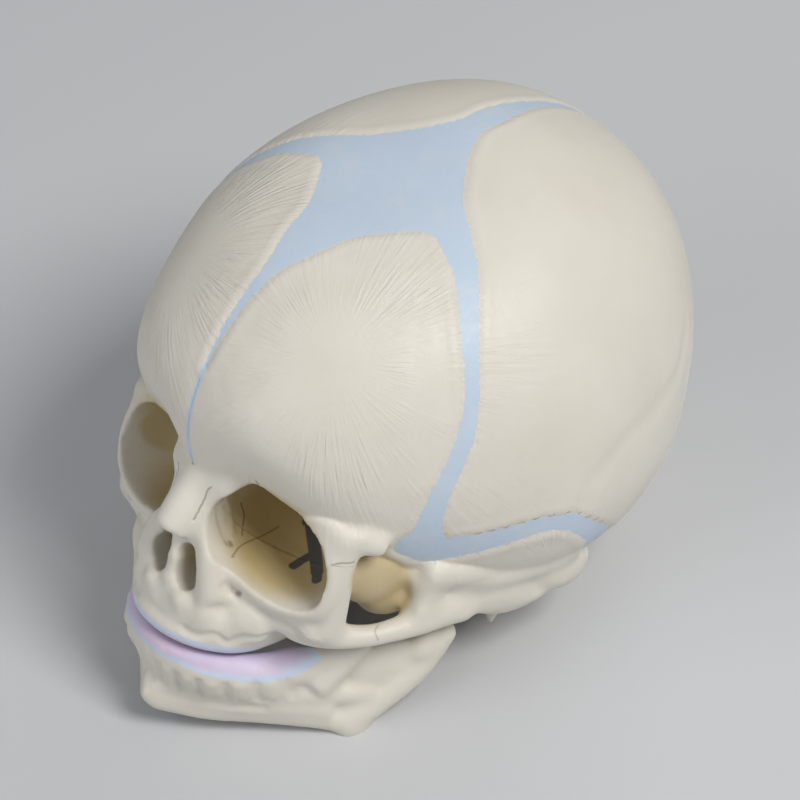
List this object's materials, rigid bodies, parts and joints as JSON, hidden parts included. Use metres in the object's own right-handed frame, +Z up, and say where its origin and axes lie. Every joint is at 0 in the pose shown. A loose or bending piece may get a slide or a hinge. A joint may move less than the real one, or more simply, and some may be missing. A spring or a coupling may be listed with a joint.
{
  "type": "anatomical skull model",
  "caption": "Life-size newborn skull model: cream plate bones with pale blue soft seams and fontanelles, open eye sockets, lilac gums and a hinged lower jaw.",
  "frame": {"origin": "on the table plane that the jaw angles and the back of the head rest on, under the middle of the model", "axes": "+X to the skull's own left, +Y from the face to the back of the head, +Z up off the table; the face is tipped up 23 degrees"},
  "size_m": [0.1004, 0.131, 0.0931],
  "materials": {
    "bone": "satin ivory cast plastic",
    "soft_seam": "pale blue painted plastic",
    "gum": "lilac painted plastic",
    "pin_steel": "plain steel"
  },
  "bodies": {
    "cranium": {"frontal_bone_left": "bone", "frontal_bone_right": "bone", "parietal_bone_left": "bone", "parietal_bone_right": "bone", "temporal_bone_left": "bone", "temporal_bone_right": "bone", "tympanic_ring_left": "bone", "tympanic_ring_right": "bone", "zygomatic_bone_left": "bone", "zygomatic_bone_right": "bone", "maxilla_left": "bone", "maxilla_right": "bone", "nasal_bone_left": "bone", "nasal_bone_right": "bone", "sphenoid_greater_wing_left": "bone", "sphenoid_greater_wing_right": "bone", "occipital_lateral_part_left": "bone", "occipital_lateral_part_right": "bone", "sphenoidal_fontanelle_left": "soft_seam", "sphenoidal_fontanelle_right": "soft_seam", "mastoid_fontanelle_left": "soft_seam", "mastoid_fontanelle_right": "soft_seam", "coronal_seam_left": "soft_seam", "coronal_seam_right": "soft_seam", "squamous_seam_left": "soft_seam", "squamous_seam_right": "soft_seam", "lambdoid_seam_left": "soft_seam", "lambdoid_seam_right": "soft_seam", "jaw_pin_left": "pin_steel", "jaw_pin_right": "pin_steel", "sphenoid_body": "bone", "ethmoid_bone": "bone", "vomer": "bone", "occipital_basilar_part": "bone", "occipital_squama": "bone", "anterior_fontanelle": "soft_seam", "posterior_fontanelle": "soft_seam", "metopic_seam": "soft_seam", "sagittal_seam": "soft_seam", "upper_gum": "gum"},
    "mandible": {"mandible_left": "bone", "mandible_right": "bone", "mandibular_symphysis": "soft_seam", "lower_gum": "gum"}
  },
  "joints": [
    {"name": "jaw_hinge", "type": "hinge", "parent": "cranium", "child": "mandible", "pos_m": [0, -0.01616, 0.0129], "axis": [1, 0, 0], "range_deg": [0, 22]}
  ]
}
